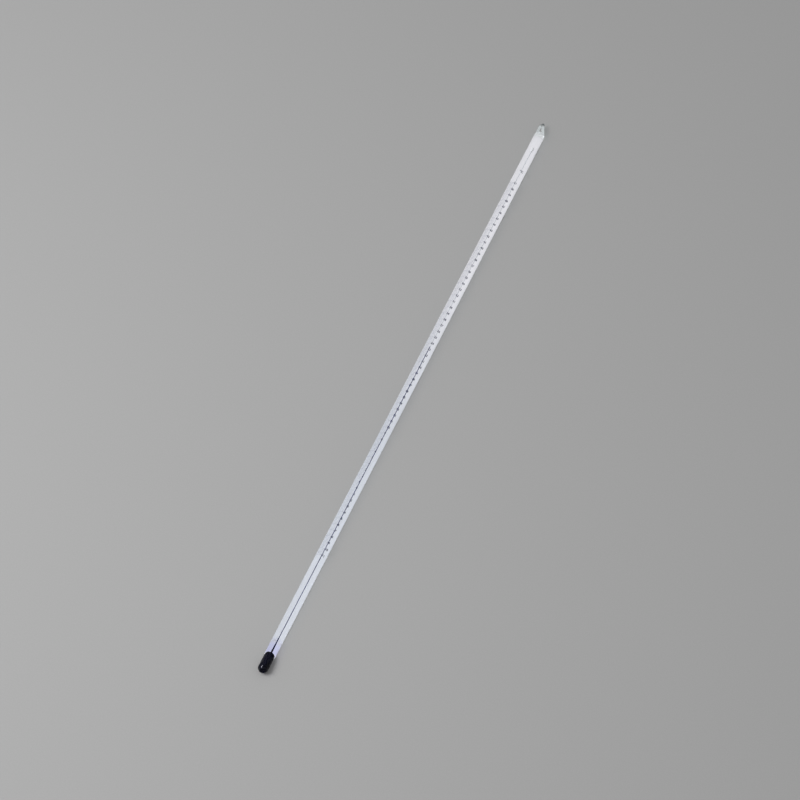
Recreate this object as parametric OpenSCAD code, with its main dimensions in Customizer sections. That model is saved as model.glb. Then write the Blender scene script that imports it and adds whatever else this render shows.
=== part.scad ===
// A laboratory thermometer: a solid glass rod with a capillary bore, a white enamel back,
// a thin-walled bulb of blue liquid fused to one end and a small glass eye at the other.
// It lies on a bench with its scale facing up. +Y runs along the rod, from the bulb to the
// eye, and +Z is up. The origin is on the bench, under the middle of the thermometer.

/* [Rod] */
// Length from the bulb's tip to the far side of the hanging eye
total_l = 400; // [396:1:450]
// Outer diameter of the glass rod
rod_d = 6; // [5.8:0.1:8]

/* [Bulb] */
// Outer diameter of the bulb
bulb_d = 5.6; // [5:0.1:5.8]
// Thickness of the bulb's glass wall
bulb_wall = 0.3; // [0.2:0.05:0.6]
// Length of the bulb, from its tip to the shoulder of the liquid inside it
bulb_l = 12.3; // [11:0.1:18]
// Length of the clear neck between that shoulder and the enamelled rod
neck_l = 8.3; // [4:0.1:10]
// Length over which the liquid narrows before it turns in at the shoulder
narrow_l = 5.8; // [3:0.1:6]
// Diameter of the liquid where it turns in
shoulder_d = 3.4; // [3:0.1:4]
// Height of the rounding where it turns in
shoulder_round = 1.2; // [0.5:0.1:2]
// Diameter of the bore where it leaves the bulb
neck_bore_d = 0.6; // [0.5:0.02:1.2]
// Length over which that bore narrows to the capillary
neck_taper_l = 11.7; // [11:0.1:20]

/* [Liquid] */
// Volume that the liquid gains over its glass for each degree, as a share of itself
expansion = 0.0014; // [0.0012:0.00001:0.0016]
// Temperature that the thermometer shows, in degrees Celsius
reading = 23.7; // [0:0.1:50]
// Length of the top of the liquid thread that travels as one piece
top_l = 45; // [40:1:48]
// Gap all round between the travelling thread and the wall of the bore
thread_gap = 0.012; // [0.01:0.001:0.014]

/* [Enamel] */
// Depth of the middle of the enamel ribbon below the rod's axis
enamel_depth = 2.2; // [1.5:0.05:2.2]
// Thickness of the enamel ribbon
enamel_t = 0.4; // [0.2:0.05:0.4]
// Width of the enamel ribbon
enamel_w = 3.6; // [2:0.1:3.6]
// Radius to which the ribbon curves up round the bore
enamel_curve_r = 6.5; // [3.5:0.1:7]

/* [Scale] */
// Lowest degree mark
scale_low = -11; // [-12:1:0]
// Highest degree mark
scale_high = 51; // [30:1:51]
// Distance from the bulb's tip to the 20 degree mark
mark_20_from_tip = 209.5; // [205:0.5:215]
// Length of one degree at the 20 degree mark
degree_l = 4.42; // [4:0.01:4.5]
// Growth of the degree's length for each degree above 20, as a share of itself
degree_growth = 0.00186; // [0:0.00002:0.003]
// Number of divisions in a degree
divisions = 5; // [2:1:5]
// Width of a degree mark along the rod
degree_mark_w = 0.1; // [0.08:0.01:0.3]
// Width of a fine mark along the rod
fine_mark_w = 0.06; // [0.05:0.01:0.2]
// Depth to which the marks are etched into the rod
mark_depth = 0.1; // [0.08:0.01:0.2]
// Height that the fired ink stands above the rod
mark_rise = 0.02; // [0.01:0.005:0.03]
// Angle from the top of the rod to the right end of every mark
mark_right = 5; // [0:1:20]
// Angle from the top of the rod to the left end of a degree mark
degree_mark_left = 54; // [30:1:60]
// Angle from the top of the rod to the left end of a fine mark
fine_mark_left = 42; // [10:1:46]

/* [Chamber] */
// Largest diameter of the expansion chamber at the top of the bore
chamber_d = 0.8; // [0.8:0.1:1.6]
// Length of the expansion chamber
chamber_l = 4; // [4:0.5:8]
// Distance from the chamber's top to the end of the enamelled rod
chamber_to_head = 10; // [5:0.1:12]

/* [Eye] */
// Length of the clear head, from the enamelled rod to the far side of the eye
head_l = 9.8; // [9:0.1:12]
// Length of the head's full width, before it is rounded off
head_full_l = 0.7; // [0.5:0.1:1.2]
// Height of the rounding where the full width ends
head_round = 1.8; // [1.4:0.1:2.2]
// Thickness of the glass in the eye's left side
eye_glass_d = 1.5; // [1.3:0.1:1.7]
// Thickness of the glass at the bend that tops the eye
eye_bend_d = 2; // [1.8:0.1:2.2]
// Thickness of the glass where the eye's right side is fused back to the head
eye_foot_d = 1.9; // [1.7:0.1:2.1]
// Distance from the rod's axis to the middle of the left side, at the head
eye_left = 2.15; // [2:0.05:2.15]
// Distance from the rod's axis to the middle of the right side, at the head
eye_right = 1.95; // [1.8:0.05:1.95]
// Distance from the rod's axis to the bend, which leans to the left
eye_bend_left = 1; // [0.8:0.05:1.3]

/* [Hidden] */
$fn = 48;
arc_steps = 10;

rod_r = rod_d / 2;
tip_y = -total_l / 2;
shoulder_y = tip_y + bulb_l;
weld_y = shoulder_y + neck_l;
rod_end_y = total_l / 2 - head_l;
rod_l = rod_end_y - weld_y;

bulb_r = bulb_d / 2;
space_r = bulb_r - bulb_wall;
shoulder_r = shoulder_d / 2;
neck_r = neck_bore_d / 2;
space_l = bulb_l - bulb_r - narrow_l - shoulder_round;

// The liquid's volume in the bulb sets the bore: one degree's growth fills one degree's length.
// The volume is the sum of the tip, the straight part, the narrowing part and the shoulder.
space_volume = PI * (pow(space_r, 2) * (space_r * 2 / 3 + space_l)
    + narrow_l / 3 * (pow(space_r, 2) + space_r * shoulder_r + pow(shoulder_r, 2))
    + pow(shoulder_r, 2) * shoulder_round * 0.7);
bore_r = sqrt(space_volume * expansion / (PI * degree_l));
thread_r = bore_r - thread_gap;
taper_end_y = shoulder_y + neck_taper_l;

chamber_r = chamber_d / 2;
chamber_top_y = rod_end_y - chamber_to_head;
chamber_low_y = chamber_top_y - chamber_l;

// The bulb widens to the rod over flare_l, and is as wide from flare_below under the shoulder on.
flare_l = 2;
flare_below = 1.1;

// The eye's two sides start inside the head. The left one turns at an elbow to reach the bend.
eye_foot_y = rod_end_y + head_full_l;
eye_bend_y = total_l / 2 - eye_bend_d / 2;
elbow_y = eye_bend_y - eye_bend_d * 0.7;
elbow_d = eye_glass_d + 0.1;

// Place of a temperature along the rod. The degrees lengthen upward, as the liquid's
// growth for each degree does.
function mark_y(t) = tip_y + mark_20_from_tip
    + degree_l * ((t - 20) + degree_growth / 2 * pow(t - 20, 2));

// Points of a quarter ellipse from [r0, z0] to [r1, z1]. It leaves the first point along the
// rod if along is true, and otherwise reaches the second point along the rod.
function quarter(r0, z0, r1, z1, along) = [
    for (i = [0:arc_steps])
        let (a = 90 * i / arc_steps)
        along
            ? [r1 + (r0 - r1) * cos(a), z0 + (z1 - z0) * sin(a)]
            : [r0 + (r1 - r0) * sin(a), z1 + (z0 - z1) * cos(a)]
];

reading_y = mark_y(reading);
column_top_y = reading_y - top_l;

// Stands a shape that is drawn along +Z on the rod's axis, at y, pointing along +Y.
module on_axis(y) {
    translate([0, y, rod_r]) rotate([-90, 0, 0]) children();
}

// Turns an outline of [radius, distance along the rod from y] about the rod's axis.
module turned(y, outline) {
    on_axis(y) rotate_extrude() polygon(outline);
}

// A curved strip round the axis. Its left and right ends are angles from the top of the rod.
module strip(y, length, r_in, r_out, left, right) {
    on_axis(y)
        rotate([0, 0, left - 90])
            rotate_extrude(angle = right - left)
                translate([r_in, 0]) square([r_out - r_in, length]);
}

// The space that the liquid fills in the bulb, the neck and the start of the rod.
module liquid_space() {
    turned(tip_y, concat(
        quarter(0, bulb_wall, space_r, bulb_r, false),
        [[space_r, bulb_r + space_l]],
        quarter(shoulder_r, bulb_l - shoulder_round, neck_r, bulb_l, true),
        [[bore_r, bulb_l + neck_taper_l], [0, bulb_l + neck_taper_l]]
    ));
}

// The capillary above the taper, with the pear-shaped expansion chamber that ends it.
module bore_space() {
    turned(taper_end_y, concat(
        [[0, 0], [bore_r, 0]],
        quarter(bore_r, chamber_low_y - taper_end_y,
            chamber_r, chamber_low_y - taper_end_y + chamber_l * 0.65, false),
        quarter(chamber_r, chamber_low_y - taper_end_y + chamber_l * 0.65,
            0, chamber_top_y - taper_end_y, true)
    ));
}

// The ribbon of white enamel behind the bore, which runs from one end of the rod to the other.
module enamel_strip() {
    half_turn = asin(enamel_w / 2 / enamel_curve_r);
    translate([0, 0, enamel_curve_r - enamel_depth])
        strip(weld_y, rod_l, enamel_curve_r - enamel_t / 2, enamel_curve_r + enamel_t / 2,
            180 - half_turn, 180 + half_turn);
}

// Capillary rod of clear glass
module stem() {
    color([0.80, 0.87, 0.90, 0.45])
        difference() {
            on_axis(weld_y) cylinder(r = rod_r, h = rod_l);
            liquid_space();
            bore_space();
            enamel_strip();
        }
}

// White opal glass behind the bore
module enamel_back() {
    color("white") enamel_strip();
}

// Thin-walled reservoir with its clear neck
module bulb() {
    color([0.76, 0.79, 0.90, 0.45])
        difference() {
            turned(tip_y, concat(
                quarter(0, 0, bulb_r, bulb_r, false),
                [[bulb_r, bulb_l - flare_below - flare_l], [rod_r, bulb_l - flare_below]],
                [[rod_r, bulb_l + neck_l], [0, bulb_l + neck_l]]
            ));
            liquid_space();
        }
}

// Liquid in the bulb and the neck, which stays full
module bulb_liquid() {
    color([0.03, 0.04, 0.12]) liquid_space();
}

// Thread of liquid between the neck and its travelling top, which lengthens and shortens
module liquid_column() {
    color([0.05, 0.07, 0.25])
        on_axis(taper_end_y) cylinder(r = thread_r, h = column_top_y - taper_end_y);
}

// Top of the thread with its hollow meniscus, which is read against the scale
module liquid_top() {
    color([0.05, 0.07, 0.30])
        turned(column_top_y, concat(
            [[0, 0], [thread_r, 0]],
            quarter(thread_r, top_l, 0, top_l - thread_r * 0.8, true)
        ));
}

// A straight length of the eye's glass between two points [x, y] at the height of the rod's axis
module glass_side(from, to, d1, d2) {
    way = to - from;
    translate([from[0], from[1], rod_r])
        rotate([0, 0, -atan2(way[0], way[1])])
            rotate([-90, 0, 0])
                cylinder(d1 = d1, d2 = d2, h = norm(way));
}

// Clear head of the rod, drawn out thin, bent over to the right and fused back to itself
module hanging_eye() {
    elbow = [-eye_left, elbow_y];
    bend = [-eye_bend_left, eye_bend_y];
    color([0.78, 0.84, 0.86, 0.5])
        union() {
            turned(rod_end_y, concat(
                [[0, 0], [rod_r, 0]],
                quarter(rod_r, head_full_l, 0, head_full_l + head_round, true)
            ));
            glass_side([-eye_left, eye_foot_y], elbow, eye_glass_d, eye_glass_d);
            translate([elbow[0], elbow[1], rod_r]) sphere(d = elbow_d);
            glass_side(elbow, bend, eye_glass_d, eye_glass_d);
            translate([bend[0], bend[1], rod_r]) sphere(d = eye_bend_d);
            glass_side([eye_right, eye_foot_y], bend, eye_foot_d, eye_glass_d);
        }
}

// One etched and inked line across the front of the rod
module mark(t, width, left) {
    strip(mark_y(t) - width / 2, width, rod_r - mark_depth, rod_r + mark_rise,
        -left, mark_right);
}

// Long marks, one at every degree
module degree_marks() {
    color([0.12, 0.13, 0.2])
        for (t = [scale_low:scale_high])
            mark(t, degree_mark_w, degree_mark_left);
}

// Short marks that divide each degree
module fine_marks() {
    color([0.16, 0.17, 0.26])
        for (t = [scale_low:scale_high - 1])
            for (part = [1:divisions - 1])
                mark(t + part / divisions, fine_mark_w, fine_mark_left);
}

stem();
enamel_back();
bulb();
bulb_liquid();
liquid_column();
liquid_top();
hanging_eye();
degree_marks();
fine_marks();
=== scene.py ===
# %% [markdown]
# A laboratory thermometer
#
# This is a solid-stem thermometer: a drawn glass rod with a hair-fine bore, a white ribbon of opal glass
# behind the bore, a thin-walled bulb of dark blue liquid, an etched and inked scale, and a small glass eye
# to hang it by. The CAD frame already holds every piece at its real size, with the one joint on which the
# top of the liquid travels. Here those plain solids get smooth glass, ink and liquid, in the same frame.

# %% Load the CAD frame
import math

import bmesh
import bpy
from mathutils import Matrix, Vector


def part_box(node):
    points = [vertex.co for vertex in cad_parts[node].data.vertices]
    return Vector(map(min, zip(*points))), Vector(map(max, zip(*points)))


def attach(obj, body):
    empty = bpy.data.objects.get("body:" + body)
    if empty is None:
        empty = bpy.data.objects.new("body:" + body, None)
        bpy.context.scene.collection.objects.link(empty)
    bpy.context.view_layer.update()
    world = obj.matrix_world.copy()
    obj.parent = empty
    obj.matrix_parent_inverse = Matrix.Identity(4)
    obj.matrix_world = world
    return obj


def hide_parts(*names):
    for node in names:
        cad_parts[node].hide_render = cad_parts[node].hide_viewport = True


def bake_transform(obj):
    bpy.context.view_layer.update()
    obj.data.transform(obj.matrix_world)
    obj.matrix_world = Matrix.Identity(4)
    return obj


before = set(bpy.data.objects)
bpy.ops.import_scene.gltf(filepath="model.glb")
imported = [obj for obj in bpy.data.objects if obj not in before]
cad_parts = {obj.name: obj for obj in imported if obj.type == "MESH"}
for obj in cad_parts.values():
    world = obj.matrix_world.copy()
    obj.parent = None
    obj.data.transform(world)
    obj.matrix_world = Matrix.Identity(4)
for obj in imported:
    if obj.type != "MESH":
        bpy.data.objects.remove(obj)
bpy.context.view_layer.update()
scene = bpy.context.scene
scene.view_settings.view_transform = "Standard"

# %% [markdown]
# The camera comes first, because it decides how much of each piece can be seen. The photograph looks down
# on the thermometer from the bulb's side through a long lens, so the rod runs from the lower left to the
# upper right. Height, turn and distance were found from the two ends of the rod and the pitch of its numbers.

# %% Camera
CAMERA_HEIGHT = math.radians(53.5)
CAMERA_TURN = math.radians(22.66)
CAMERA_DISTANCE = 1.9
VIEW_WIDTH = 0.431715
AIM = Vector((-0.001174, -0.013134, 0.003))

toward_camera = Vector((
    math.sin(CAMERA_TURN) * math.cos(CAMERA_HEIGHT),
    -math.cos(CAMERA_TURN) * math.cos(CAMERA_HEIGHT),
    math.sin(CAMERA_HEIGHT),
))
camera_data = bpy.data.cameras.new("camera")
camera_data.lens = camera_data.sensor_width * CAMERA_DISTANCE / VIEW_WIDTH
camera = bpy.data.objects.new("camera", camera_data)
camera.location = AIM + toward_camera * CAMERA_DISTANCE
camera.rotation_euler = toward_camera.to_track_quat("Z", "Y").to_euler()
scene.collection.objects.link(camera)
scene.camera = camera
print("lens", round(camera_data.lens, 1), "mm")

# %% [markdown]
# Every colour below is written as the sRGB hex value that a picture would show. Shaders work in linear
# light, so one function turns the one into the other. One more function adds a node: its settings are
# keywords, and its inputs are given as plain values or as the outputs that feed them.

# %% Helpers for colours and nodes
MM = 0.001


def srgb(code):
    """The linear colour, with alpha 1, of a hex value such as #A5A5A5."""
    parts = [int(code[i:i + 2], 16) / 255 for i in (1, 3, 5)]
    return tuple(p / 12.92 if p <= 0.04045 else ((p + 0.055) / 1.055) ** 2.4 for p in parts) + (1.0,)


def node(tree, kind, inputs=None, **settings):
    """Adds a node to the tree, sets it up and fills its inputs with values or links."""
    new = tree.nodes.new(kind)
    for name, value in settings.items():
        setattr(new, name, value)
    for name, value in (inputs or {}).items():
        if isinstance(value, bpy.types.NodeSocket):
            tree.links.new(value, new.inputs[name])
        else:
            new.inputs[name].default_value = value
    return new


def start_material(name):
    """A new material with an empty tree, and the tree."""
    material = bpy.data.materials.new(name)
    material.use_nodes = True
    material.node_tree.nodes.clear()
    return material, material.node_tree


def end_material(material, shader):
    node(material.node_tree, "ShaderNodeOutputMaterial", {"Surface": shader})
    print("material", material.name, len(material.node_tree.nodes), "nodes")
    return material


# %% [markdown]
# Patterns are written in millimetres. Object coordinates are metres here, so a noise whose spots are one
# millimetre across needs a scale of 1000. Drawn glass was pulled along the rod while it was soft, so its
# faults are streaks: squeezing the coordinates along Y stretches the same noise into them.

# %% Patterns on real sizes


def noise(tree, size_mm, stretch=1.0, detail=2.0):
    """A noise of spots size_mm across, drawn out along the rod by stretch."""
    place = node(tree, "ShaderNodeTexCoord").outputs["Object"]
    along = node(tree, "ShaderNodeMapping", {"Vector": place, "Scale": (1, 1 / stretch, 1)})
    return node(tree, "ShaderNodeTexNoise", {
        "Vector": along.outputs["Vector"], "Scale": 1000 / size_mm, "Detail": detail,
    }).outputs["Fac"]


def between(tree, fac, low, high, start=0.3, end=0.7):
    """Two colours mixed by a pattern: low up to start, high from end on."""
    ramp = node(tree, "ShaderNodeValToRGB", {"Fac": fac})
    ramp.color_ramp.elements[0].position, ramp.color_ramp.elements[0].color = start, srgb(low)
    ramp.color_ramp.elements[1].position, ramp.color_ramp.elements[1].color = end, srgb(high)
    return ramp.outputs["Color"]


def share_between(tree, axis, start, end):
    """0 where the object coordinate on this axis is start, 1 where it is end, both in millimetres."""
    place = node(tree, "ShaderNodeTexCoord").outputs["Object"]
    return node(tree, "ShaderNodeMapRange", {
        "Value": node(tree, "ShaderNodeSeparateXYZ", {"Vector": place}).outputs[axis],
        "From Min": start * MM, "From Max": end * MM,
    }).outputs["Result"]


def along_rod(tree, *stops):
    """A value or colour that changes along the rod. Each stop is a place in millimetres and what is there."""
    part = share_between(tree, "Y", stops[0][0], stops[-1][0])
    ramp = node(tree, "ShaderNodeValToRGB", {"Fac": part})
    points = ramp.color_ramp.elements
    while len(points) < len(stops):
        points.new(0.5)
    for point, (y, value) in zip(points, stops):
        point.position = (y - stops[0][0]) / (stops[-1][0] - stops[0][0])
        point.color = srgb(value) if isinstance(value, str) else (value, value, value, 1)
    return ramp.outputs["Color"]


def tinted(tree, colours):
    """One hex colour, or colours that change along the rod where stops are given."""
    return srgb(colours) if isinstance(colours, str) else along_rod(tree, *colours)


# %% [markdown]
# Some surfaces answer two kinds of rays in two ways. A path tracer sends the ones that make up the picture,
# from the camera and on through gloss and glass. It sends others that look for a lamp, or come off a dull
# surface, and these only carry light. The Light Path node tells which kind has arrived. A thin layer that
# hides what is behind it, and still lets much of the light past, is opened for the second kind alone.

# %% Kinds of rays


def seen(tree):
    """1 for rays that make up the picture, and 0 for the others."""
    path = node(tree, "ShaderNodeLightPath")
    mirrored = node(tree, "ShaderNodeMath", {
        0: path.outputs["Is Glossy Ray"], 1: path.outputs["Is Transmission Ray"],
    }, operation="MAXIMUM")
    return node(tree, "ShaderNodeMath", {
        0: path.outputs["Is Camera Ray"], 1: mirrored.outputs[0],
    }, operation="MAXIMUM").outputs[0]


def carries_light(tree):
    """1 for rays that look for a lamp or come off a dull surface, and 0 for the others."""
    path = node(tree, "ShaderNodeLightPath")
    return node(tree, "ShaderNodeMath", {
        0: path.outputs["Is Shadow Ray"], 1: path.outputs["Is Diffuse Ray"],
    }, operation="MAXIMUM").outputs[0]


def partly_open(tree, shader, passing):
    """The shader, made to let the share passing of the light go on to what lies behind it."""
    share = node(tree, "ShaderNodeMath", {0: carries_light(tree), 1: passing}, operation="MULTIPLY")
    opening = node(tree, "ShaderNodeBsdfTransparent", {"Color": (1, 1, 1, 1)})
    return node(tree, "ShaderNodeMixShader", {
        0: share.outputs[0], 1: shader, 2: opening.outputs[0],
    }).outputs[0]


# %% [markdown]
# The photograph was taken on a plain grey paper sweep. The paper is drawn in its own grey, with its fibres
# as a faint cloudiness. Far from the thermometer the lamp's light falls off, so there the floor goes over
# into the sky's grey, and low views show no horizon.

# %% Floor
PAPER_GREY = "#A8A8A8"
LIT_REACH, SWEEP_REACH = 0.45, 1.0
FLOOR_REACH = 3

paper, tree = start_material("grey_paper")
fibres = noise(tree, 0.7, detail=3)
paper_shader = node(tree, "ShaderNodeBsdfPrincipled", {
    "Base Color": between(tree, fibres, "#A6A6A6", "#AAAAAA"), "Roughness": 0.9, "Specular IOR Level": 0.1,
})
from_middle = node(tree, "ShaderNodeVectorMath", {
    0: node(tree, "ShaderNodeTexCoord").outputs["Object"],
}, operation="LENGTH")
far = node(tree, "ShaderNodeMapRange", {
    "Value": from_middle.outputs["Value"], "From Min": LIT_REACH, "From Max": SWEEP_REACH,
}, interpolation_type="SMOOTHSTEP")
sweep_share = node(tree, "ShaderNodeMath", {0: far.outputs["Result"], 1: seen(tree)}, operation="MULTIPLY")
sweep = node(tree, "ShaderNodeEmission", {"Color": srgb(PAPER_GREY), "Strength": 1.0})
paper_look = node(tree, "ShaderNodeMixShader", {
    0: sweep_share.outputs[0], 1: paper_shader.outputs["BSDF"], 2: sweep.outputs[0],
})
end_material(paper, paper_look.outputs[0])

floor_mesh = bpy.data.meshes.new("floor")
corners = [(x * FLOOR_REACH, y * FLOOR_REACH, 0) for x, y in ((-1, -1), (1, -1), (1, 1), (-1, 1))]
floor_mesh.from_pydata(corners, [], [(0, 1, 2, 3)])
floor_mesh.materials.append(paper)
floor = bpy.data.objects.new("floor", floor_mesh)
scene.collection.objects.link(floor)
print("floor", 2 * FLOOR_REACH, "m wide, lit as paper for", LIT_REACH, "m around")

# %% [markdown]
# One large soft lamp stands at the upper left, which gives the faint wide shadow. Together with the sky it
# lights the paper at about strength 1, so that the grey comes out as written. A small bright window beside
# it is there for the gloss alone: it gives the bulb its sharp glint.

# %% Lamp and window
LAMP_DIRECTION = Vector((-0.52, -0.32, 0.79)).normalized()
WINDOW_DIRECTION = Vector((-0.34, -0.44, 0.79)).normalized()
LAMP_DISTANCE, LAMP_SIZE, LAMP_WATTS = 1.2, 0.55, 8.6
WINDOW_DISTANCE, WINDOW_SIZE, WINDOW_WATTS = 1.1, 0.3, 20.0

lamp_data = bpy.data.lights.new("soft_lamp", "AREA")
lamp_data.size = LAMP_SIZE
lamp_data.energy = LAMP_WATTS
lamp = bpy.data.objects.new("soft_lamp", lamp_data)
lamp.location = LAMP_DIRECTION * LAMP_DISTANCE
lamp.rotation_euler = LAMP_DIRECTION.to_track_quat("Z", "Y").to_euler()
scene.collection.objects.link(lamp)

window_data = bpy.data.lights.new("small_window", "AREA")
window_data.size = WINDOW_SIZE
window_data.energy = WINDOW_WATTS
window = bpy.data.objects.new("small_window", window_data)
window.location = WINDOW_DIRECTION * WINDOW_DISTANCE
window.rotation_euler = WINDOW_DIRECTION.to_track_quat("Z", "Y").to_euler()
window.visible_diffuse = False
scene.collection.objects.link(window)
print("lamp", LAMP_WATTS, "W at", [round(x, 2) for x in lamp.location])

# %% [markdown]
# The sky fills the shadows with even white light. What the camera and the glass see of it is the paper's
# grey instead, so that the floor, the background and the reflections are one colour.

# %% Sky
SKY_STRENGTH = 0.5
scene.world = bpy.data.worlds.new("sky")
scene.world.use_nodes = True
tree = scene.world.node_tree
tree.nodes.clear()
lighting = node(tree, "ShaderNodeBackground", {"Color": (1, 1, 1, 1), "Strength": SKY_STRENGTH})
backdrop = node(tree, "ShaderNodeBackground", {"Color": srgb(PAPER_GREY), "Strength": 1.0})
sky = node(tree, "ShaderNodeMixShader", {0: seen(tree), 1: lighting.outputs[0], 2: backdrop.outputs[0]})
node(tree, "ShaderNodeOutputWorld", {"Surface": sky.outputs[0]})
print("sky", len(tree.nodes), "nodes")

# %% [markdown]
# Real clear glass bends light, and a path tracer only finds the lamp through it by luck. So each glass is a
# refracting surface for the rays that make up the picture, and an open one for those that carry light. That
# lets the enamel, the ink and the paper behind the glass be lit without noise, and keeps the rod's shadow as
# light as glass makes it. An open glass doesn't gather light onto the paper below it as real glass does, so
# that light is painted onto the glass's underside as a pale painted glow. The rod was drawn from soft glass,
# which leaves faint streaks along it, and fingers leave a very slight haze. The bulb's glass has a lavender
# cast, and the painted glow under its neck is lavender too. Its reflections are toned down, because the
# photograph shows hardly any over the dark liquid.

# %% Glass
GLASS_IOR = 1.5
PAINTED_GLOW_FADE = 1.2


def clear_glass(name, tint, shade, mirror="#FFFFFF", painted_glow=None, painted_glow_run=(), top=2.6):
    """Soda-lime glass. tint colours what is seen through it, shade is how much of the lamp one wall lets in,
    and mirror tints its reflections. painted_glow is painted light: a pale diffuse colour on the glass's
    underside, below the height top, that stands in for the light the glass gathers onto the paper beneath it,
    and painted_glow_run is its strength along the rod. tint, shade and painted_glow may change along the rod."""
    material, tree = start_material(name)
    streaks = noise(tree, 0.9, stretch=40)
    haze = node(tree, "ShaderNodeMapRange", {
        "Value": noise(tree, 5.0, stretch=3), "To Min": 0.0, "To Max": 0.06,
    })
    surface = node(tree, "ShaderNodeBump", {"Height": streaks, "Strength": 0.05, "Distance": 0.02 * MM})
    look = node(tree, "ShaderNodeBsdfPrincipled", {
        "Base Color": tinted(tree, tint),
        "Roughness": haze.outputs["Result"],
        "IOR": GLASS_IOR,
        "Specular Tint": srgb(mirror),
        "Transmission Weight": 1.0,
        "Normal": surface.outputs["Normal"],
    }).outputs["BSDF"]
    if painted_glow:
        share = node(tree, "ShaderNodeMath", {
            0: share_between(tree, "Z", top, top - PAINTED_GLOW_FADE), 1: along_rod(tree, *painted_glow_run),
        }, operation="MULTIPLY")
        painted_gathered_light = node(tree, "ShaderNodeBsdfDiffuse", {"Color": tinted(tree, painted_glow)})
        look = node(tree, "ShaderNodeMixShader", {
            0: share.outputs[0], 1: look, 2: painted_gathered_light.outputs[0],
        }).outputs[0]
    opening = node(tree, "ShaderNodeBsdfTransparent", {"Color": tinted(tree, shade)})
    mixed = node(tree, "ShaderNodeMixShader", {0: carries_light(tree), 1: look, 2: opening.outputs[0]})
    return end_material(material, mixed.outputs[0])


# Painted light: a short run of painted glow at the rod's lower end covers the dark paper that would show
# beneath the thin start of the enamel.
rod_glass = clear_glass(
    "drawn_soda_glass", tint="#FFFFFF", shade="#FDFEFF", painted_glow="#E9ECF3", painted_glow_run=((-176, 0.9), (-173, 0)),
)
# Painted light: the bulb's painted glow is white at the liquid's shoulder, which makes the bulb's bright
# corners, and lavender up the neck, for light tinted by the blue liquid.
bulb_glass = clear_glass(
    "lavender_bulb_glass", tint="#F6F6FF", shade="#F8F8FC", mirror="#707078",
    painted_glow=((-190, "#FFFFFF"), (-188, "#FFFFFF"), (-186.5, "#E0E3FF"), (-182, "#E2E6FF"), (-179.4, "#E9ECF4")),
    painted_glow_run=((-190.8, 0), (-190, 1), (-187, 1), (-185, 0.85), (-180, 0.85)),
)
# Painted light and shade: the head and the eye's sides get a pale painted glow underneath, and the tint turns
# dark grey at the eye's far tip, which is painted shade.
head_glass = clear_glass(
    "flame_worked_glass", tint=((198.3, "#F8FBFB"), (199.3, "#98A0A1")),
    shade=((192.5, "#F4F8F8"), (194, "#E2E6E6")), painted_glow="#F6F8FA",
    painted_glow_run=((190, 0.97), (191.5, 0.9), (193, 0.8), (196, 0.85), (198, 0.8), (199, 0)), top=3.4,
)

# %% [markdown]
# Where two lengths of glass are fused in the flame there is no surface left between them. The three glass
# pieces meet face to face, and a refracting face there would act as a mirror. Their end faces get a
# material that lets light straight through, which is what a fused joint does.

# %% Fused joint
fused, tree = start_material("fused_joint")
end_material(fused, node(tree, "ShaderNodeBsdfTransparent", {"Color": (1, 1, 1, 1)}).outputs[0])

# %% [markdown]
# The white back is opal glass, drawn out together with the rod. It is a soft white, slightly uneven in
# thickness along its length. Its lower part is tinted bluish as painted light, for the light that comes
# through the dyed liquid in front of it, and its +X side is a little darker as painted shade, which evens out
# how the lamp lights the two halves of the curved ribbon. It is bonded to the clear glass, so it has no shine
# of its own, and being thin it lets much of the light past.

# %% Opal enamel
ENAMEL_PASSING = 0.7
enamel, tree = start_material("white_opal_enamel")
drawn = noise(tree, 1.6, stretch=60, detail=3)
white = node(tree, "ShaderNodeMix", {
    0: 1.0, 6: between(tree, drawn, "#F3F3F3", "#FFFFFF"),
    # Painted shade: the +X side of the ribbon is a little darker, to even out the lamp's light on its two
    # halves.
    7: between(tree, share_between(tree, "X", -1.5, 1.5), "#FFFFFF", "#F6F6F6", start=0, end=1),
}, data_type="RGBA", blend_type="MULTIPLY")
# Painted light: the enamel is tinted bluish low on the rod and whiter upward, for light that comes through
# the dyed liquid.
enamel_with_painted_blue_light = node(tree, "ShaderNodeMix", {
    0: 1.0, 6: white.outputs[2],
    7: along_rod(tree, (-179.4, "#E1E5EF"), (-176, "#E5E9F2"), (-40, "#E5E9F2"), (80, "#F8F7FC")),
}, data_type="RGBA", blend_type="MULTIPLY")
enamel_shader = node(tree, "ShaderNodeBsdfPrincipled", {
    "Base Color": enamel_with_painted_blue_light.outputs[2],
    "Roughness": 0.4,
    "Specular IOR Level": 0.1,
    "Normal": node(tree, "ShaderNodeBump", {
        "Height": drawn, "Strength": 0.1, "Distance": 0.02 * MM,
    }).outputs["Normal"],
})
end_material(enamel, partly_open(tree, enamel_shader.outputs["BSDF"], ENAMEL_PASSING))

# %% [markdown]
# The liquid is an organic one, dyed a blue so deep that the bulb looks almost black. In the capillary the
# same dye is only a quarter of a millimetre thick, and the blue shows. It wets the glass, so there is no
# air between them, and the liquid's own surface shines only faintly. The two colours are mixed by place
# along the rod.

# %% Dyed liquid
liquid, tree = start_material("dyed_blue_liquid")
deep = between(tree, noise(tree, 2.0, stretch=4), "#04050C", "#0C0D1C")
thin = between(tree, noise(tree, 1.0, stretch=20), "#1F2558", "#30376F")
dye = node(tree, "ShaderNodeMix", {
    0: along_rod(tree, (-187, 0), (-175, 1)), 6: deep, 7: thin,
}, data_type="RGBA")
liquid_shader = node(tree, "ShaderNodeBsdfPrincipled", {
    "Base Color": dye.outputs[2], "Roughness": 0.2, "IOR": 1.4, "Specular IOR Level": 0.1,
})
end_material(liquid, liquid_shader.outputs["BSDF"])

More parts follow.
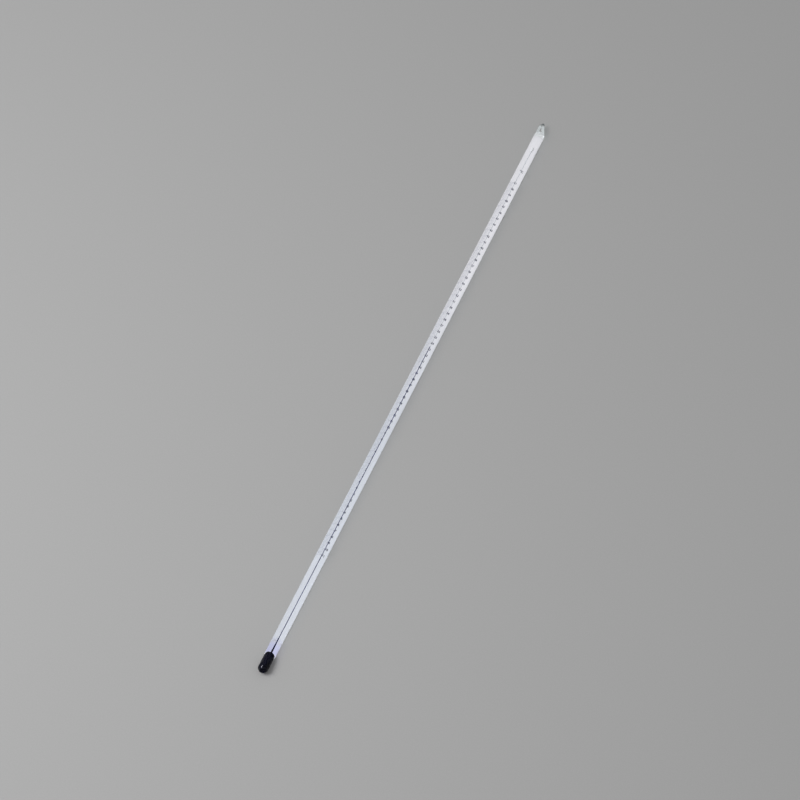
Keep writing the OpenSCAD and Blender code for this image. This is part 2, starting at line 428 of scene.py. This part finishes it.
# %% [markdown]
# Above the liquid the bore holds only gas. Its wall mirrors the white back, so an empty bore shows as a
# hair-line a shade darker than the enamel. A thin pale core is a painted reflection of that mirror. The wall
# of the chamber at its top is less steep and mirrors the enamel better, so the core's painted reflection is
# lighter there.

# %% Empty bore
gas, tree = start_material("gas_filled_bore")
wall = noise(tree, 1.2, stretch=30)
# Painted reflection: the core's pale grey, lighter in the chamber, stands in for the enamel mirrored in the
# bore's wall.
mirror = node(tree, "ShaderNodeMix", {
    0: along_rod(tree, (176, 0), (177.5, 1)),
    6: between(tree, wall, "#C6CBD1", "#D4D8DE"), 7: between(tree, wall, "#ECEEF2", "#F4F5F8"),
}, data_type="RGBA")
painted_reflection_shader = node(tree, "ShaderNodeBsdfPrincipled", {
    "Base Color": mirror.outputs[2], "Roughness": 0.25, "Specular IOR Level": 0.1,
})
end_material(gas, painted_reflection_shader.outputs["BSDF"])

# %% [markdown]
# The scale is etched into the rod with acid and filled with a blue-black ink that is fired on. Fired ink
# is a thin glass full of pigment: it has a satin surface, and where it filled the etching badly it is a
# little lighter. Its grains are far too fine to show, so they are drawn at 0.15 mm. The hair-fine lines
# hold so little of it that they look grey, and let most of the light through to the enamel behind them.

# %% Fired ink


def fired_ink(name, dark, light, passing=None):
    """Ink fused into etched glass. passing is the share of the lamp's light that goes on through it, if
    any does."""
    material, tree = start_material(name)
    grains = noise(tree, 0.15, detail=3)
    surface = node(tree, "ShaderNodeBump", {"Height": grains, "Strength": 0.3, "Distance": 0.01 * MM})
    satin = node(tree, "ShaderNodeMapRange", {"Value": grains, "To Min": 0.4, "To Max": 0.65})
    body = node(tree, "ShaderNodeBsdfPrincipled", {
        "Base Color": between(tree, grains, dark, light),
        "Roughness": satin.outputs["Result"],
        "Normal": surface.outputs["Normal"],
    }).outputs["BSDF"]
    return end_material(material, partly_open(tree, body, passing) if passing else body)


figure_ink = fired_ink("fired_blue_black_ink", "#262B42", "#434A66")
line_ink = fired_ink("thin_fired_blue_black_ink", "#7C8298", "#9CA1B4", passing=0.8)

# %% [markdown]
# The sizes that every glass piece shares are read from the frame, in millimetres, so that the smooth
# shapes can't drift from the CAD ones: the rod's radius and axis, its two welds and the bulb's tip.

# %% Shared sizes
stem_low, stem_high = (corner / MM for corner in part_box("stem"))
liquid_low, liquid_high = (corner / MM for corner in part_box("bulb_liquid"))
top_low, top_high = (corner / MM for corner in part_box("liquid_top"))
ROD_R = (stem_high.z - stem_low.z) / 2
AXIS_Z = (stem_high.z + stem_low.z) / 2
WELD_Y, ROD_END_Y = stem_low.y, stem_high.y
TIP_Y, EYE_END_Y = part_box("bulb")[0].y / MM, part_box("hanging_eye")[1].y / MM
BULB_R, BULB_WALL = 2.8, 0.3
SHOULDER_Y = TIP_Y + 12.3
LIQUID_R = (liquid_high.x - liquid_low.x) / 2
THREAD_R = (top_high.x - top_low.x) / 2
READING_Y = top_high.y
print("rod", round(ROD_R, 2), "welds", round(WELD_Y, 1), round(ROD_END_Y, 1), "thread", round(THREAD_R, 3))

# %% [markdown]
# Most pieces are turned shapes: an outline of radius against place along the rod, swept round the axis.
# Blender's Spin or Screw could do it, but building the rings in code closes both ends with single points
# and keeps the rings where the outline has them. The helper after it turns any finished shape into an
# object: it scales millimetres to metres, leaves the object itself at the origin, smooths its faces up to
# a sharp angle, and puts it on the glass body.

# %% Turned shapes and finished pieces


def quarter(r0, y0, r1, y1, along, steps=16):
    """A quarter ellipse from one point of an outline to another. It leaves the first point along the rod
    if along is true, and otherwise square to it."""
    turns = [math.pi / 2 * i / steps for i in range(steps + 1)]
    if along:
        return [(r1 + (r0 - r1) * math.cos(a), y0 + (y1 - y0) * math.sin(a)) for a in turns]
    return [(r0 + (r1 - r0) * math.sin(a), y1 + (y0 - y1) * math.cos(a)) for a in turns]


def turned(outline, sides=96):
    """A closed shape from points of radius and place along the rod, in millimetres."""
    shape = bmesh.new()
    rings = []
    for radius, y in outline:
        turns = [0.0] if radius < 1e-6 else [math.tau * i / sides for i in range(sides)]
        rings.append([
            shape.verts.new((radius * math.sin(a), y, AXIS_Z + radius * math.cos(a))) for a in turns
        ])
    for low, high in zip(rings, rings[1:]):
        for i in range(sides):
            corners = [low[i % len(low)], low[(i + 1) % sides % len(low)],
                       high[(i + 1) % sides % len(high)], high[i % len(high)]]
            shape.faces.new(list(dict.fromkeys(corners)))
    bmesh.ops.recalc_face_normals(shape, faces=shape.faces)
    return shape


def fuse(shape, *joints):
    """Gives the end faces at these places the second material."""
    for face in shape.faces:
        if any(all(abs(v.co.y - y) < 1e-3 for v in face.verts) for y in joints):
            face.material_index = 1


def piece(name, shape, materials, replaces=(), sharp=35, body="glass"):
    """An object in metres from a shape in millimetres."""
    mesh = bpy.data.meshes.new(name)
    shape.to_mesh(mesh)
    shape.free()
    mesh.transform(Matrix.Scale(MM, 4))
    mesh.shade_smooth()
    mesh.set_sharp_from_angle(angle=math.radians(sharp))
    for material in materials:
        mesh.materials.append(material)
    made = bpy.data.objects.new(name, mesh)
    scene.collection.objects.link(made)
    if body:
        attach(made, body)
    if replaces:
        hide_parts(*replaces)
    size = [round(x / MM, 2) for x in made.dimensions]
    print(name, len(mesh.polygons), "faces", size, "mm")
    return made


# %% [markdown]
# The rod is a plain cylinder, and that is what it is on the real object too: a drawn rod with one
# diameter. It is made smooth, because a rod of glass magnifies every flat on it. Its bore and the pocket of
# the enamel aren't cut, as liquid, enamel and glass touch all over and nothing shows between them.

# %% Rod
rod = turned([(0, WELD_Y), (ROD_R, WELD_Y), (ROD_R, ROD_END_Y), (0, ROD_END_Y)], sides=128)
fuse(rod, WELD_Y, ROD_END_Y)
piece("drawn_glass_rod", rod, [rod_glass, fused], ["stem"])

# %% [markdown]
# The bulb is blown from thin tube: a round tip, straight sides and a part that widens to the rod just below
# the liquid's shoulder. The neck above is solid again and clear, because the enamel starts only at the weld.
# The widening is drawn with an S-shaped line, the way soft glass settles.

# %% Bulb and neck
FLARE_L = 2
FLARE_END_Y = SHOULDER_Y - 1.1
STEPS = 8
flare = []
for i in range(STEPS + 1):
    widened = (1 - math.cos(math.pi * i / STEPS)) / 2
    flare.append((BULB_R + (ROD_R - BULB_R) * widened, FLARE_END_Y - FLARE_L * (1 - i / STEPS)))
bulb = turned(
    quarter(0, TIP_Y, BULB_R, TIP_Y + BULB_R, along=False) + flare + [(ROD_R, WELD_Y), (0, WELD_Y)],
    sides=128,
)
fuse(bulb, WELD_Y)
piece("blown_bulb_and_neck", bulb, [bulb_glass, fused], ["bulb"])

# %% [markdown]
# The liquid fills the bulb behind a wall of 0.3 mm. Toward its shoulder it narrows, since the glass is
# thicker there, and there the thicker glass shows the bulb glass's white painted glow as the bulb's bright
# corners, which is painted light. Then it runs up the neck in a cone that narrows to the capillary. It goes
# 12 mm on into the capillary, a hair thicker than the travelling thread, so that the thread always starts
# inside it.

# %% Liquid in the bulb and the neck
NARROW_Y = SHOULDER_Y - 7
SHOULDER_R, SHOULDER_ROUND = 1.7, 1.2
NECK_BORE_R = 0.3
CONE_END_Y = SHOULDER_Y + 11.7
FILLING_END_Y = CONE_END_Y + 12
BORE_R = THREAD_R + 0.004
filling = turned(
    quarter(0, TIP_Y + BULB_WALL, LIQUID_R, TIP_Y + BULB_R, along=False) + [(LIQUID_R, NARROW_Y)]
    + quarter(SHOULDER_R, SHOULDER_Y - SHOULDER_ROUND, NECK_BORE_R, SHOULDER_Y, along=True)
    + [(BORE_R, CONE_END_Y), (BORE_R, FILLING_END_Y), (0, FILLING_END_Y)], sides=64,
)
piece("bulb_and_neck_liquid", filling, [liquid], ["bulb_liquid"])

# %% [markdown]
# The thread in the bore is one unbroken line of liquid, and its top moves along the scale. The frame holds it
# as a fixed column and a travelling top. Here it is a single mesh of many rings, from the top of the neck's
# cone up to the reading, put on neither body, with its place baked into the mesh. The thread's top is hollow,
# because the liquid wets the glass and climbs the wall of the bore.

# %% Thread and meniscus
THREAD_START_Y, RINGS_END_Y = CONE_END_Y + 0.5, READING_Y - 0.3
MENISCUS = 0.8 * THREAD_R
RINGS = 90
steady = [
    (THREAD_R, THREAD_START_Y + (RINGS_END_Y - THREAD_START_Y) * i / RINGS) for i in range(RINGS + 1)
]
hollow = quarter(THREAD_R, READING_Y, 0, READING_Y - MENISCUS, along=True, steps=6)
thread = turned([(0, THREAD_START_Y)] + steady + hollow, sides=24)
thread_piece = piece(
    "liquid_thread", thread, [liquid], ["liquid_column", "liquid_top"], body=None,
)
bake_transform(thread_piece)

# %% [markdown]
# Above the reading the bore goes on, filled with gas, up to a pear-shaped chamber that takes the liquid if
# the thermometer is ever overheated. This core runs the whole way, because the thread may sink below it: it
# is thinner than the thread, which hides it wherever there is liquid.

# %% Bore and expansion chamber
CHAMBER_TOP_Y = ROD_END_Y - 10
CHAMBER_L, CHAMBER_R = 4, 0.4
CHAMBER_LOW_Y = CHAMBER_TOP_Y - CHAMBER_L
CHAMBER_BELLY_Y = CHAMBER_LOW_Y + CHAMBER_L * 0.65
CORE_R, CORE_START_Y = THREAD_R - 0.025, CONE_END_Y + 2
core = turned(
    [(0, CORE_START_Y), (CORE_R, CORE_START_Y)]
    + quarter(CORE_R, CHAMBER_LOW_Y, CHAMBER_R, CHAMBER_BELLY_Y, along=False)
    + quarter(CHAMBER_R, CHAMBER_BELLY_Y, 0, CHAMBER_TOP_Y, along=True)[1:], sides=32,
)
piece("empty_bore_and_chamber", core, [gas])

# %% [markdown]
# The enamel is a ribbon 3.6 mm wide that curves up a little round the bore. The round rod magnifies it, so
# that from the front it fills the rod's whole width. It is built as one curved strip, closed all round. The
# flame that made the two welds drew its ends out thin, so it fades into the clear glass there.

# %% Enamel ribbon
RIBBON_T = 0.4


def ribbon_shape(run, depth, wide, curve_r, steps=24):
    """A closed ribbon below the axis, curved up round it to the radius curve_r. run gives its thickness at
    places along the rod."""
    shape = bmesh.new()
    half_turn = math.asin(wide / 2 / curve_r)
    around = [(y, thick / 2) for y, thick in run] + [(y, -thick / 2) for y, thick in reversed(run)]
    sections = []
    for i in range(steps + 1):
        turn = half_turn * (2 * i / steps - 1)
        sections.append([
            shape.verts.new((
                (curve_r + out) * math.sin(turn), y,
                AXIS_Z + curve_r - depth - (curve_r + out) * math.cos(turn),
            )) for y, out in around
        ])
    for near, far in zip(sections, sections[1:]):
        for i in range(len(around)):
            after = (i + 1) % len(around)
            shape.faces.new((near[i], near[after], far[after], far[i]))
    shape.faces.new(sections[0])
    shape.faces.new(sections[-1])
    bmesh.ops.recalc_face_normals(shape, faces=shape.faces)
    return shape


ribbon = ribbon_shape([
    (WELD_Y + 0.05, 0.06), (WELD_Y + 1.2, 0.25), (WELD_Y + 3, RIBBON_T),
    (ROD_END_Y - 3, RIBBON_T), (ROD_END_Y - 1.2, 0.25), (ROD_END_Y - 0.05, 0.06),
], depth=2.2, wide=3.6, curve_r=6.5)
piece("enamel_ribbon", ribbon, [enamel], ["enamel_back"])

# %% [markdown]
# The hanging eye is made in the flame: the end of the rod is drawn out thin, bent over to the right and
# fused back to the head, which leaves a narrow gap to put a thread through. It starts as a rounded head and
# three straight lengths of glass, which are easy to set out by their ends and radii. A tube along a curve
# would do too, but it couldn't grow thicker and thinner as freely.

# %% Hanging eye
STUB_Y = ROD_END_Y - 2
FULL_END_Y = ROD_END_Y + 0.7
HEAD_ROUND = 1.8
LEFT_FOOT_R, SIDE_R, RIGHT_FOOT_R, BEND_R = 0.75, 0.8, 0.95, 1.0
BEND = Vector((-1.0, EYE_END_Y - BEND_R))
ELBOW = Vector((-2.15, BEND.y - 1.4))
LEFT_FOOT, RIGHT_FOOT = Vector((ELBOW.x, FULL_END_Y)), Vector((1.95, FULL_END_Y))

eye = turned(
    [(0, STUB_Y), (ROD_R, STUB_Y)] + quarter(ROD_R, FULL_END_Y, 0, FULL_END_Y + HEAD_ROUND, along=True)
)
rough_mesh = bpy.data.meshes.new("eye_rough")


def glass_side(start, end, start_r, end_r):
    """Adds to the eye a length of glass between two points at the rod's height. Its ends are round."""
    way = end - start
    side = turned(
        quarter(0, -start_r, start_r, 0, along=False, steps=8)
        + quarter(end_r, way.length, 0, way.length + end_r, along=True, steps=8), sides=32,
    )
    turn = Matrix.Rotation(-math.atan2(way.x, way.y), 4, "Z")
    bmesh.ops.transform(side, matrix=Matrix.Translation((start.x, start.y, 0)) @ turn, verts=side.verts)
    side.to_mesh(rough_mesh)
    side.free()
    eye.from_mesh(rough_mesh)


glass_side(LEFT_FOOT, ELBOW, LEFT_FOOT_R, SIDE_R)
glass_side(ELBOW, BEND, SIDE_R, BEND_R)
glass_side(RIGHT_FOOT, BEND, RIGHT_FOOT_R, SIDE_R)
print("eye", len(eye.faces), "faces before it is melted")

# %% [markdown]
# Straight lengths of glass cross with hard lines, and melted glass never has one. So they are remeshed into
# one skin of 0.1 mm cells and smoothed a little, which rounds the joints as melting does. The head's stub
# reaches past the weld and is then cut off flat there, so that it meets the rod exactly.

# %% Melted eye
CELL = 0.1
SMOOTHING_ROUNDS = 8


def evaluated(holder):
    """The object's mesh with its modifiers applied. The object itself is removed."""
    bpy.context.view_layer.update()
    finished = bpy.data.meshes.new_from_object(holder.evaluated_get(bpy.context.evaluated_depsgraph_get()))
    bpy.data.objects.remove(holder)
    return finished


eye.to_mesh(rough_mesh)
eye.free()
holder = bpy.data.objects.new("eye_rough", rough_mesh)
scene.collection.objects.link(holder)
melt = holder.modifiers.new("melt", "REMESH")
melt.mode = "VOXEL"
melt.voxel_size = CELL
eye = bmesh.new()
eye.from_mesh(evaluated(holder))
for _ in range(SMOOTHING_ROUNDS):
    bmesh.ops.smooth_vert(eye, verts=eye.verts, factor=0.5, use_axis_x=True, use_axis_y=True, use_axis_z=True)
cut = bmesh.ops.bisect_plane(
    eye, geom=eye.verts[:] + eye.edges[:] + eye.faces[:], dist=1e-4,
    plane_co=(0, ROD_END_Y, 0), plane_no=(0, -1, 0), clear_outer=True,
)
rim = [e for e in cut["geom_cut"] if isinstance(e, bmesh.types.BMEdge)]
bmesh.ops.holes_fill(eye, edges=rim, sides=0)
bmesh.ops.recalc_face_normals(eye, faces=eye.faces)
fuse(eye, ROD_END_Y)
piece("flame_drawn_head_and_eye", eye, [head_glass, fused], ["hanging_eye"], sharp=50)

# %% [markdown]
# The scale has 311 marks that follow one rule: the degrees lengthen a little upward, as the liquid expands
# a little more for each degree. That is work for Geometry Nodes: points on a line take their places from
# the rule, and each carries a small strip that is bent round the rod. One tree makes both lengths of mark.
# Its inputs are the sizes that a scale maker would name, and its result is turned into a plain mesh.

# %% Tree for the marks
marks = bpy.data.node_groups.new("etched_marks", "GeometryNodeTree")
marks.interface.new_socket("Marks", in_out="OUTPUT", socket_type="NodeSocketGeometry")
INPUTS = {
    "Count": "NodeSocketInt", "First degree": "NodeSocketFloat", "Degrees per mark": "NodeSocketFloat",
    "Leave out every": "NodeSocketFloat", "Place of 20": "NodeSocketFloat",
    "Degree length": "NodeSocketFloat", "Growth": "NodeSocketFloat", "Line width": "NodeSocketFloat",
    "Left angle": "NodeSocketFloat", "Right angle": "NodeSocketFloat", "Inner radius": "NodeSocketFloat",
    "Outer radius": "NodeSocketFloat", "Axis height": "NodeSocketFloat", "Ink": "NodeSocketMaterial",
}
for label, kind in INPUTS.items():
    marks.interface.new_socket(label, in_out="INPUT", socket_type=kind)
given = node(marks, "NodeGroupInput").outputs
print("tree", marks.name, "with", len(INPUTS), "inputs")

# %% [markdown]
# The first part of the tree gives every mark its place: that of 20 degrees, and from there on as many
# degrees as the mark's temperature is away, each a little longer than the one below it. The fine marks
# leave out the whole degrees, where the long ones stand.

# %% Places of the marks
index = node(marks, "GeometryNodeInputIndex").outputs[0]
up = node(marks, "ShaderNodeMath", {0: index, 1: given["Degrees per mark"]}, operation="MULTIPLY")
degree = node(marks, "ShaderNodeMath", {0: given["First degree"], 1: up.outputs[0]}, operation="ADD")
past_20 = node(marks, "ShaderNodeMath", {0: degree.outputs[0], 1: 20.0}, operation="SUBTRACT").outputs[0]
squared = node(marks, "ShaderNodeMath", {0: past_20, 1: past_20}, operation="MULTIPLY")
half = node(marks, "ShaderNodeMath", {0: given["Growth"], 1: 0.5}, operation="MULTIPLY")
grown = node(marks, "ShaderNodeMath", {0: squared.outputs[0], 1: half.outputs[0]}, operation="MULTIPLY")
degrees = node(marks, "ShaderNodeMath", {0: past_20, 1: grown.outputs[0]}, operation="ADD")
from_20 = node(marks, "ShaderNodeMath", {
    0: given["Degree length"], 1: degrees.outputs[0],
}, operation="MULTIPLY")
along_y = node(marks, "ShaderNodeMath", {0: given["Place of 20"], 1: from_20.outputs[0]}, operation="ADD")
place = node(marks, "ShaderNodeCombineXYZ", {"Y": along_y.outputs[0]})
points = node(marks, "GeometryNodePoints", {"Count": given["Count"], "Position": place.outputs[0]})

over = node(marks, "ShaderNodeMath", {0: index, 1: given["Leave out every"]}, operation="MODULO")
whole = node(marks, "ShaderNodeMath", {0: over.outputs[0], 1: 0.5}, operation="LESS_THAN")
asked = node(marks, "ShaderNodeMath", {0: given["Leave out every"], 1: 0.5}, operation="GREATER_THAN")
left_out = node(marks, "ShaderNodeMath", {0: whole.outputs[0], 1: asked.outputs[0]}, operation="MULTIPLY")
kept = node(marks, "GeometryNodeDeleteGeometry", {
    "Geometry": points.outputs[0], "Selection": left_out.outputs[0],
}, domain="POINT")
print("tree", marks.name, len(marks.nodes), "nodes so far")

# %% [markdown]
# The second part bends one small block round the rod: its width becomes an angle and its height a radius.
# It is then set on every place, made real and given its ink.

# %% One line, set on every place
block = node(marks, "GeometryNodeMeshCube", {
    "Size": (1, 1, 1), "Vertices X": 6, "Vertices Y": 2, "Vertices Z": 2,
})
corner = node(marks, "ShaderNodeSeparateXYZ", {"Vector": node(marks, "GeometryNodeInputPosition").outputs[0]})
turn = node(marks, "ShaderNodeMapRange", {
    "Value": corner.outputs["X"], "From Min": -0.5, "From Max": 0.5,
    "To Min": given["Left angle"], "To Max": given["Right angle"],
}).outputs[0]
radius = node(marks, "ShaderNodeMapRange", {
    "Value": corner.outputs["Z"], "From Min": -0.5, "From Max": 0.5,
    "To Min": given["Inner radius"], "To Max": given["Outer radius"],
}).outputs[0]
sine = node(marks, "ShaderNodeMath", {0: turn}, operation="SINE")
cosine = node(marks, "ShaderNodeMath", {0: turn}, operation="COSINE")
aside = node(marks, "ShaderNodeMath", {0: radius, 1: sine.outputs[0]}, operation="MULTIPLY")
wide = node(marks, "ShaderNodeMath", {
    0: corner.outputs["Y"], 1: given["Line width"],
}, operation="MULTIPLY")
above = node(marks, "ShaderNodeMath", {0: radius, 1: cosine.outputs[0]}, operation="MULTIPLY")
height = node(marks, "ShaderNodeMath", {0: given["Axis height"], 1: above.outputs[0]}, operation="ADD")
bent = node(marks, "ShaderNodeCombineXYZ", {
    "X": aside.outputs[0], "Y": wide.outputs[0], "Z": height.outputs[0],
})
line = node(marks, "GeometryNodeSetPosition", {
    "Geometry": block.outputs["Mesh"], "Position": bent.outputs[0],
})
placed = node(marks, "GeometryNodeInstanceOnPoints", {"Points": kept.outputs[0], "Instance": line.outputs[0]})
real = node(marks, "GeometryNodeRealizeInstances", {"Geometry": placed.outputs[0]})
inked = node(marks, "GeometryNodeSetMaterial", {"Geometry": real.outputs[0], "Material": given["Ink"]})
node(marks, "NodeGroupOutput", {0: inked.outputs[0]})
print("tree", marks.name, len(marks.nodes), "nodes in all")

# %% [markdown]
# The long marks stand at every degree from -11 to 51 and the short ones at every fifth of a degree between
# them. Each is a groove 0.1 mm deep whose ink stands 0.02 mm proud of the rod. They all end at the same
# side of the thread, so that the eye can follow the liquid's top across them.

# %% Marks
PLACE_OF_20 = TIP_Y + 209.5
DEGREE_L, GROWTH = 4.42, 0.00186
LOWEST, HIGHEST, DIVISIONS = -11, 51, 5
GROOVE, PROUD = 0.1, 0.02
shared = {
    "First degree": float(LOWEST), "Place of 20": PLACE_OF_20, "Degree length": DEGREE_L,
    "Growth": GROWTH, "Right angle": math.radians(5), "Inner radius": ROD_R - GROOVE,
    "Outer radius": ROD_R + PROUD, "Axis height": AXIS_Z, "Ink": line_ink,
}


def etched(name, replaced, **own):
    """Runs the tree with the shared inputs and its own ones, and finishes the result as a piece."""
    holder = bpy.data.objects.new(name + "_holder", bpy.data.meshes.new(name + "_holder"))
    scene.collection.objects.link(holder)
    modifier = holder.modifiers.new("marks", "NODES")
    modifier.node_group = marks
    for item in marks.interface.items_tree:
        if item.in_out == "INPUT":
            modifier[item.identifier] = {**shared, **own}[item.name]
    shape = bmesh.new()
    shape.from_mesh(evaluated(holder))
    bmesh.ops.recalc_face_normals(shape, faces=shape.faces)
    return piece(name, shape, [line_ink], [replaced])


etched("degree_lines", "degree_marks", **{
    "Count": HIGHEST - LOWEST + 1, "Degrees per mark": 1.0, "Leave out every": 0.0,
    "Line width": 0.1, "Left angle": math.radians(-54),
})
etched("fifth_of_a_degree_lines", "fine_marks", **{
    "Count": (HIGHEST - LOWEST) * DIVISIONS + 1, "Degrees per mark": 1 / DIVISIONS,
    "Leave out every": float(DIVISIONS), "Line width": 0.06, "Left angle": math.radians(-42),
})

# %% [markdown]
# The numbers are read with the thermometer upright, so they run across the rod, to the right of the marks,
# one at every degree. Plain block figures are drawn as text, given a thickness, cut into short pieces so
# that they can bend, and wrapped round the rod. The mark above the scale names the unit.

# %% Numbers and unit
FIGURE_SHARE = 0.7
FIGURE_T, SUNK = 0.04, 0.01
LONG_EDGE = 0.3


def figures(shape, text, y, left, height, stroke, narrow=0.92):
    """Adds raised figures of that height to the shape. They start at the angle left, centred on y, and are
    drawn narrow, as on a rod, where little of the width faces the reader. A figure stands FIGURE_SHARE of
    the text's size high."""
    curve = bpy.data.curves.new("figures", "FONT")
    curve.body, curve.size, curve.resolution_u = text, height / FIGURE_SHARE, 3
    curve.offset, curve.extrude = stroke, FIGURE_T
    curve.align_x, curve.align_y = "LEFT", "CENTER"
    holder = bpy.data.objects.new("figures", curve)
    scene.collection.objects.link(holder)
    flat = bmesh.new()
    flat.from_mesh(evaluated(holder))
    bmesh.ops.remove_doubles(flat, verts=flat.verts, dist=1e-4)
    long = [e for e in flat.edges if abs(e.verts[0].co.x - e.verts[1].co.x) > LONG_EDGE]
    bmesh.ops.subdivide_edges(flat, edges=long, cuts=2)
    bmesh.ops.triangulate(flat, faces=flat.faces)
    low, high = min(v.co.y for v in flat.verts), max(v.co.y for v in flat.verts)
    start = min(v.co.x for v in flat.verts)
    for v in flat.verts:
        turn = math.radians(left) + (v.co.x - start) * narrow / ROD_R
        r = ROD_R - SUNK + v.co.z
        v.co = (r * math.sin(turn), y + v.co.y - (low + high) / 2, AXIS_Z + r * math.cos(turn))
    part = bpy.data.meshes.new("figures")
    flat.to_mesh(part)
    flat.free()
    shape.from_mesh(part)


def mark_y(t):
    """Where the mark of the temperature t stands, by the rule that the tree follows."""
    return PLACE_OF_20 + DEGREE_L * ((t - 20) + GROWTH / 2 * (t - 20) ** 2)


numbers = bmesh.new()
for t in range(LOWEST, HIGHEST + 1):
    figures(numbers, str(t), mark_y(t), left=7, height=1.25, stroke=0.05)
bmesh.ops.recalc_face_normals(numbers, faces=numbers.faces)
piece("degree_numbers", numbers, [figure_ink])

unit = bmesh.new()
figures(unit, "°C", mark_y(HIGHEST) + 9.4, left=2, height=1.5, stroke=0.05)
bmesh.ops.recalc_face_normals(unit, faces=unit.faces)
piece("unit_mark", unit, [figure_ink])

# %% [markdown]
# The last line prints that the scene is built.

# %% Finish
print("scene built")
